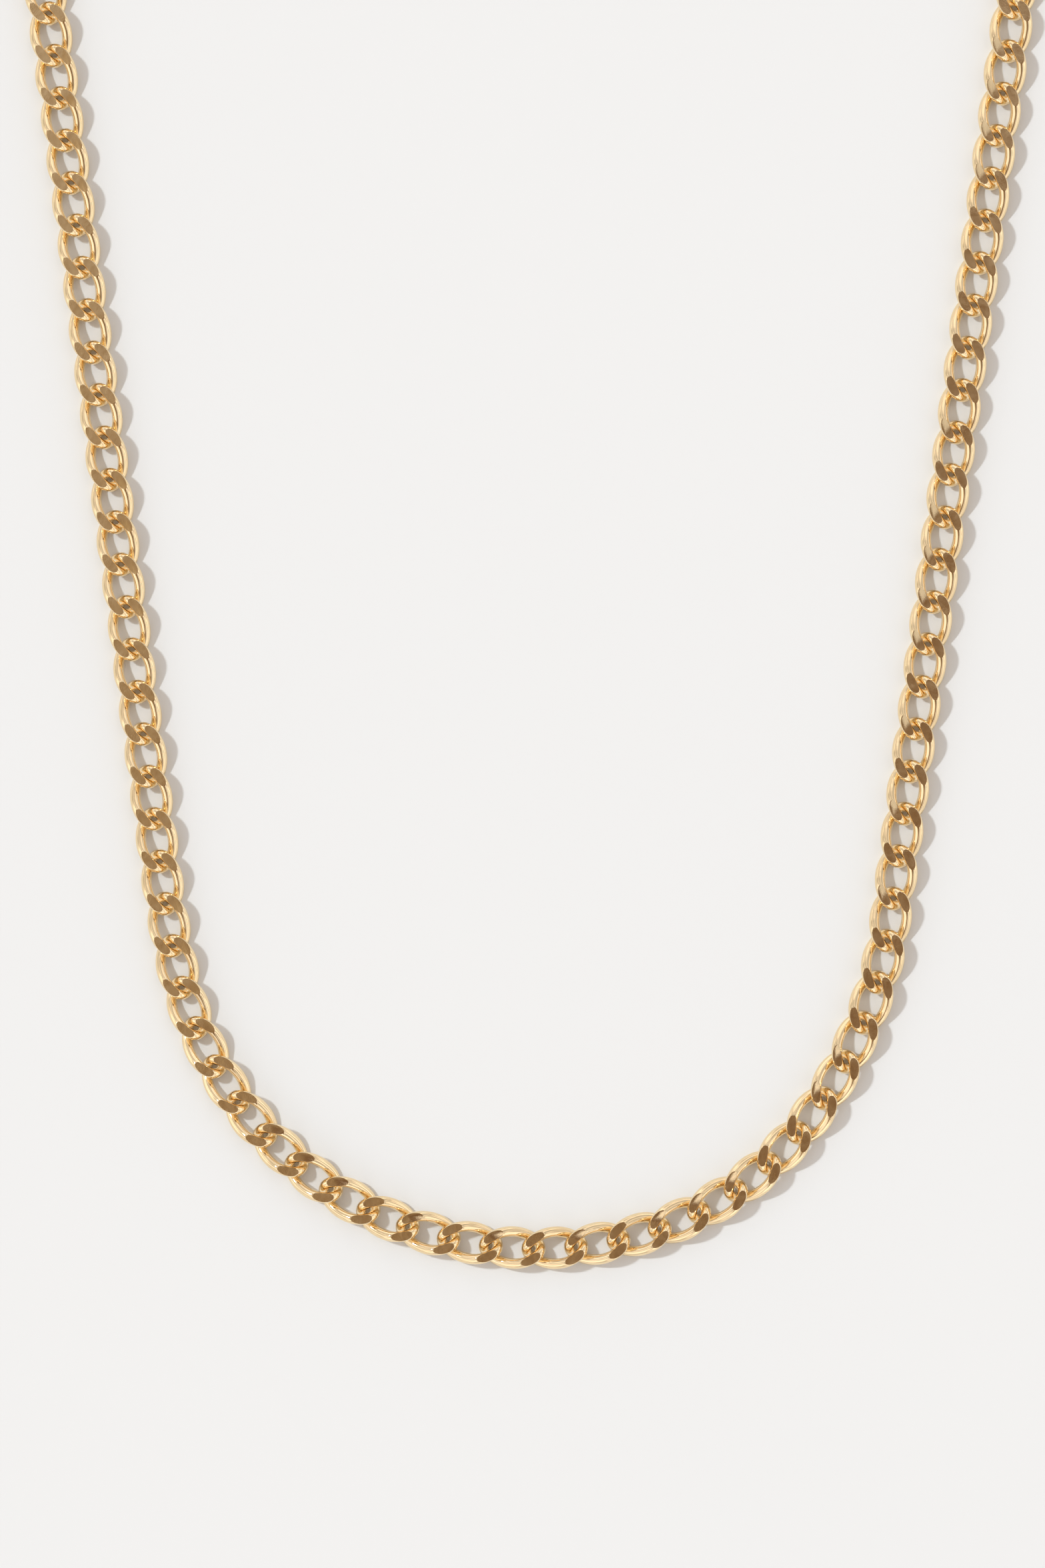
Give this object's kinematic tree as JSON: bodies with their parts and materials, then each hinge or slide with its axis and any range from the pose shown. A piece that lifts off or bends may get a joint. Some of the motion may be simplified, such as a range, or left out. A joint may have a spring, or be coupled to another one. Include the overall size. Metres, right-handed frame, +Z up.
{
  "type": "chain necklace",
  "caption": "Polished gold curb chain necklace of hooked, twisted links with a spring lever clasp, laid flat and unfastened.",
  "frame": {"origin": "on the surface that the chain lies on, under the middle of the whole laid necklace", "axes": "+Z up from that surface, +Y from the lowest bend of the chain towards the clasp, +X to the right"},
  "size_m": [0.114, 0.2042, 0.0028],
  "materials": {
    "gold": "mirror polished yellow gold",
    "spring_steel": "plain bright spring wire"
  },
  "bodies": {
    "clasp_ring": {"clasp_ring": "gold"},
    "end_ring": {"end_ring": "gold"},
    "links_01": {"links_01": "gold"},
    "links_02": {"links_02": "gold"},
    "links_03": {"links_03": "gold"},
    "links_04": {"links_04": "gold"},
    "links_05": {"links_05": "gold"},
    "links_06": {"links_06": "gold"},
    "links_07": {"links_07": "gold"},
    "links_08": {"links_08": "gold"},
    "links_09": {"links_09": "gold"},
    "links_10": {"links_10": "gold"},
    "links_11": {"links_11": "gold"},
    "links_12": {"links_12": "gold"},
    "links_13": {"links_13": "gold"},
    "links_14": {"links_14": "gold"},
    "links_15": {"links_15": "gold"},
    "links_16": {"links_16": "gold"},
    "links_17": {"links_17": "gold"},
    "links_18": {"links_18": "gold"},
    "links_19": {"links_19": "gold"},
    "links_20": {"links_20": "gold"},
    "links_21": {"links_21": "gold"},
    "links_22": {"links_22": "gold"},
    "links_23": {"links_23": "gold"},
    "links_24": {"links_24": "gold"},
    "links_25": {"links_25": "gold"},
    "links_26": {"links_26": "gold"},
    "links_27": {"links_27": "gold"},
    "links_28": {"links_28": "gold"},
    "links_29": {"links_29": "gold"},
    "links_30": {"links_30": "gold"},
    "links_31": {"links_31": "gold"},
    "links_32": {"links_32": "gold"},
    "links_33": {"links_33": "gold"},
    "links_34": {"links_34": "gold"},
    "links_35": {"links_35": "gold"},
    "links_36": {"links_36": "gold"},
    "links_37": {"links_37": "gold"},
    "links_38": {"links_38": "gold"},
    "links_39": {"links_39": "gold"},
    "links_40": {"links_40": "gold"},
    "links_41": {"links_41": "gold"},
    "links_42": {"links_42": "gold"},
    "links_43": {"links_43": "gold"},
    "links_44": {"links_44": "gold"},
    "links_45": {"links_45": "gold"},
    "links_46": {"links_46": "gold"},
    "links_47": {"links_47": "gold"},
    "links_48": {"links_48": "gold"},
    "links_49": {"links_49": "gold"},
    "links_50": {"links_50": "gold"},
    "links_51": {"links_51": "gold"},
    "links_52": {"links_52": "gold"},
    "clasp": {"clasp_body": "gold", "clasp_pin": "gold", "clasp_spring": "spring_steel"},
    "lever": {"clasp_lever": "gold"}
  },
  "joints": [
    {"name": "swing_01", "type": "hinge", "parent": "links_02", "child": "links_01", "pos_m": [-0.02454, 0.09558, 0.00108], "axis": [0.2234, -0.6308, 0.7431], "range_deg": [-30, 30]},
    {"name": "swing_02", "type": "hinge", "parent": "links_03", "child": "links_02", "pos_m": [-0.03318, 0.09214, 0.00108], "axis": [-0.3595, 0.5643, -0.7431], "range_deg": [-30, 30]},
    {"name": "swing_03", "type": "hinge", "parent": "links_04", "child": "links_03", "pos_m": [-0.04082, 0.08685, 0.00108], "axis": [0.4773, -0.469, 0.7431], "range_deg": [-30, 30]},
    {"name": "swing_04", "type": "hinge", "parent": "links_05", "child": "links_04", "pos_m": [-0.04707, 0.07998, 0.00108], "axis": [-0.5705, 0.3496, -0.7431], "range_deg": [-30, 30]},
    {"name": "swing_05", "type": "hinge", "parent": "links_06", "child": "links_05", "pos_m": [-0.05162, 0.07187, 0.00108], "axis": [0.6346, -0.2123, 0.7431], "range_deg": [-30, 30]},
    {"name": "swing_06", "type": "hinge", "parent": "links_07", "child": "links_06", "pos_m": [-0.05423, 0.06295, 0.00108], "axis": [-0.6661, 0.0641, -0.7431], "range_deg": [-30, 30]},
    {"name": "swing_07", "type": "hinge", "parent": "links_08", "child": "links_07", "pos_m": [-0.05477, 0.05366, 0.00108], "axis": [0.6634, 0.0873, 0.7431], "range_deg": [-30, 30]},
    {"name": "swing_08", "type": "hinge", "parent": "links_09", "child": "links_08", "pos_m": [-0.05355, 0.04444, 0.00108], "axis": [-0.6634, -0.0873, -0.7431], "range_deg": [-30, 30]},
    {"name": "swing_09", "type": "hinge", "parent": "links_10", "child": "links_09", "pos_m": [-0.05234, 0.03522, 0.00108], "axis": [0.6634, 0.0873, 0.7431], "range_deg": [-30, 30]},
    {"name": "swing_10", "type": "hinge", "parent": "links_11", "child": "links_10", "pos_m": [-0.05112, 0.026, 0.00108], "axis": [-0.6634, -0.0873, -0.7431], "range_deg": [-30, 30]},
    {"name": "swing_11", "type": "hinge", "parent": "links_12", "child": "links_11", "pos_m": [-0.04991, 0.01678, 0.00108], "axis": [0.6634, 0.0873, 0.7431], "range_deg": [-30, 30]},
    {"name": "swing_12", "type": "hinge", "parent": "links_13", "child": "links_12", "pos_m": [-0.0487, 0.00756, 0.00108], "axis": [-0.6634, -0.0873, -0.7431], "range_deg": [-30, 30]},
    {"name": "swing_13", "type": "hinge", "parent": "links_14", "child": "links_13", "pos_m": [-0.04748, -0.00166, 0.00108], "axis": [0.6634, 0.0873, 0.7431], "range_deg": [-30, 30]},
    {"name": "swing_14", "type": "hinge", "parent": "links_15", "child": "links_14", "pos_m": [-0.04627, -0.01088, 0.00108], "axis": [-0.6634, -0.0873, -0.7431], "range_deg": [-30, 30]},
    {"name": "swing_15", "type": "hinge", "parent": "links_16", "child": "links_15", "pos_m": [-0.04505, -0.0201, 0.00108], "axis": [0.6634, 0.0873, 0.7431], "range_deg": [-30, 30]},
    {"name": "swing_16", "type": "hinge", "parent": "links_17", "child": "links_16", "pos_m": [-0.04384, -0.02932, 0.00108], "axis": [-0.6634, -0.0873, -0.7431], "range_deg": [-30, 30]},
    {"name": "swing_17", "type": "hinge", "parent": "links_18", "child": "links_17", "pos_m": [-0.04263, -0.03854, 0.00108], "axis": [0.6634, 0.0873, 0.7431], "range_deg": [-30, 30]},
    {"name": "swing_18", "type": "hinge", "parent": "links_19", "child": "links_18", "pos_m": [-0.04141, -0.04776, 0.00108], "axis": [-0.6634, -0.0873, -0.7431], "range_deg": [-30, 30]},
    {"name": "swing_19", "type": "hinge", "parent": "links_20", "child": "links_19", "pos_m": [-0.0402, -0.05698, 0.00108], "axis": [0.6634, 0.0873, 0.7431], "range_deg": [-30, 30]},
    {"name": "swing_20", "type": "hinge", "parent": "links_21", "child": "links_20", "pos_m": [-0.03885, -0.06618, 0.00108], "axis": [-0.6538, -0.1425, -0.7431], "range_deg": [-30, 30]},
    {"name": "swing_21", "type": "hinge", "parent": "links_22", "child": "links_21", "pos_m": [-0.0365, -0.07518, 0.00108], "axis": [0.6009, 0.2944, 0.7431], "range_deg": [-30, 30]},
    {"name": "swing_22", "type": "hinge", "parent": "links_23", "child": "links_22", "pos_m": [-0.03208, -0.08335, 0.00108], "axis": [-0.5133, -0.4292, -0.7431], "range_deg": [-30, 30]},
    {"name": "swing_23", "type": "hinge", "parent": "links_24", "child": "links_23", "pos_m": [-0.02583, -0.09023, 0.00108], "axis": [0.3961, 0.5393, 0.7431], "range_deg": [-30, 30]},
    {"name": "swing_24", "type": "hinge", "parent": "links_25", "child": "links_24", "pos_m": [-0.01812, -0.09542, 0.00108], "axis": [-0.2561, -0.6182, -0.7431], "range_deg": [-30, 30]},
    {"name": "swing_25", "type": "hinge", "parent": "links_26", "child": "links_25", "pos_m": [-0.00866, -0.09879, 0.00108], "axis": [0.2258, 0.9742, 0], "range_deg": [-30, 30]},
    {"name": "swing_26", "type": "hinge", "parent": "links_27", "child": "links_26", "pos_m": [0.00056, -0.09988, 0.00108], "axis": [-0.0079, -1, 0], "range_deg": [-30, 30]},
    {"name": "swing_27", "type": "hinge", "parent": "links_27", "child": "links_28", "pos_m": [0.0098, -0.09893, 0.00108], "axis": [-0.2105, 0.9776, 0], "range_deg": [-30, 30]},
    {"name": "swing_28", "type": "hinge", "parent": "links_28", "child": "links_29", "pos_m": [0.01856, -0.09589, 0.00108], "axis": [0.4517, -0.8922, 0], "range_deg": [-30, 30]},
    {"name": "swing_29", "type": "hinge", "parent": "links_29", "child": "links_30", "pos_m": [0.02679, -0.09016, 0.00108], "axis": [-0.4156, 0.5244, -0.7431], "range_deg": [-30, 30]},
    {"name": "swing_30", "type": "hinge", "parent": "links_30", "child": "links_31", "pos_m": [0.03262, -0.08292, 0.00108], "axis": [0.54, -0.3952, 0.7431], "range_deg": [-30, 30]},
    {"name": "swing_31", "type": "hinge", "parent": "links_31", "child": "links_32", "pos_m": [0.0368, -0.07462, 0.00108], "axis": [-0.6074, 0.2807, -0.7431], "range_deg": [-30, 30]},
    {"name": "swing_32", "type": "hinge", "parent": "links_32", "child": "links_33", "pos_m": [0.03926, -0.06565, 0.00108], "axis": [0.6509, -0.1551, 0.7431], "range_deg": [-30, 30]},
    {"name": "swing_33", "type": "hinge", "parent": "links_33", "child": "links_34", "pos_m": [0.04043, -0.05642, 0.00108], "axis": [-0.6631, 0.0897, -0.7431], "range_deg": [-30, 30]},
    {"name": "swing_34", "type": "hinge", "parent": "links_34", "child": "links_35", "pos_m": [0.04168, -0.0472, 0.00108], "axis": [0.6631, -0.0897, 0.7431], "range_deg": [-30, 30]},
    {"name": "swing_35", "type": "hinge", "parent": "links_35", "child": "links_36", "pos_m": [0.04292, -0.03799, 0.00108], "axis": [-0.6631, 0.0897, -0.7431], "range_deg": [-30, 30]},
    {"name": "swing_36", "type": "hinge", "parent": "links_36", "child": "links_37", "pos_m": [0.04417, -0.02877, 0.00108], "axis": [0.6631, -0.0897, 0.7431], "range_deg": [-30, 30]},
    {"name": "swing_37", "type": "hinge", "parent": "links_37", "child": "links_38", "pos_m": [0.04541, -0.01956, 0.00108], "axis": [-0.6631, 0.0897, -0.7431], "range_deg": [-30, 30]},
    {"name": "swing_38", "type": "hinge", "parent": "links_38", "child": "links_39", "pos_m": [0.04666, -0.01034, 0.00108], "axis": [0.6631, -0.0897, 0.7431], "range_deg": [-30, 30]},
    {"name": "swing_39", "type": "hinge", "parent": "links_39", "child": "links_40", "pos_m": [0.04791, -0.00112, 0.00108], "axis": [-0.6631, 0.0897, -0.7431], "range_deg": [-30, 30]},
    {"name": "swing_40", "type": "hinge", "parent": "links_40", "child": "links_41", "pos_m": [0.04915, 0.00809, 0.00108], "axis": [0.6631, -0.0897, 0.7431], "range_deg": [-30, 30]},
    {"name": "swing_41", "type": "hinge", "parent": "links_41", "child": "links_42", "pos_m": [0.0504, 0.01731, 0.00108], "axis": [-0.6631, 0.0897, -0.7431], "range_deg": [-30, 30]},
    {"name": "swing_42", "type": "hinge", "parent": "links_42", "child": "links_43", "pos_m": [0.05164, 0.02653, 0.00108], "axis": [0.6631, -0.0897, 0.7431], "range_deg": [-30, 30]},
    {"name": "swing_43", "type": "hinge", "parent": "links_43", "child": "links_44", "pos_m": [0.05289, 0.03574, 0.00108], "axis": [-0.6631, 0.0897, -0.7431], "range_deg": [-30, 30]},
    {"name": "swing_44", "type": "hinge", "parent": "links_44", "child": "links_45", "pos_m": [0.05414, 0.04496, 0.00108], "axis": [0.6631, -0.0897, 0.7431], "range_deg": [-30, 30]},
    {"name": "swing_45", "type": "hinge", "parent": "links_45", "child": "links_46", "pos_m": [0.05477, 0.05422, 0.00108], "axis": [-0.669, 0.014, -0.7431], "range_deg": [-30, 30]},
    {"name": "swing_46", "type": "hinge", "parent": "links_46", "child": "links_47", "pos_m": [0.05322, 0.06339, 0.00108], "axis": [0.655, 0.1368, 0.7431], "range_deg": [-30, 30]},
    {"name": "swing_47", "type": "hinge", "parent": "links_47", "child": "links_48", "pos_m": [0.04965, 0.07197, 0.00108], "axis": [-0.6074, -0.2807, -0.7431], "range_deg": [-30, 30]},
    {"name": "swing_48", "type": "hinge", "parent": "links_48", "child": "links_49", "pos_m": [0.04424, 0.07953, 0.00108], "axis": [0.5287, 0.4101, 0.7431], "range_deg": [-30, 30]},
    {"name": "swing_49", "type": "hinge", "parent": "links_49", "child": "links_50", "pos_m": [0.03727, 0.08568, 0.00108], "axis": [-0.4229, -0.5185, -0.7431], "range_deg": [-30, 30]},
    {"name": "swing_50", "type": "hinge", "parent": "links_50", "child": "links_51", "pos_m": [0.02909, 0.0901, 0.00108], "axis": [0.2954, 0.6004, 0.7431], "range_deg": [-30, 30]},
    {"name": "swing_51", "type": "hinge", "parent": "links_51", "child": "links_52", "pos_m": [0.02013, 0.09257, 0.00108], "axis": [-0.1528, -0.6515, -0.7431], "range_deg": [-30, 30]},
    {"name": "clasp_ring_swing", "type": "hinge", "parent": "links_01", "child": "clasp_ring", "pos_m": [-0.01535, 0.09699, 0.00108], "axis": [-0.0757, 0.6648, -0.7431], "range_deg": [-20, 20]},
    {"name": "end_ring_swing", "type": "hinge", "parent": "links_52", "child": "end_ring", "pos_m": [0.01084, 0.09296, 0.00108], "axis": [-0.0023, -0.6691, -0.7431], "range_deg": [-20, 20]},
    {"name": "clasp_swing", "type": "hinge", "parent": "clasp_ring", "child": "clasp", "pos_m": [-0.01254, 0.09791, 0.00128], "axis": [-0.1026, 0.9005, 0.4226], "range_deg": [-30, 30]},
    {"name": "lever_swing", "type": "hinge", "parent": "clasp", "child": "lever", "pos_m": [-0.00902, 0.09972, 0.0014], "axis": [0, 0, 1], "range_deg": [-24, 0], "stiffness_Nm_per_rad": 0.01, "springref_deg": 11.46}
  ]
}
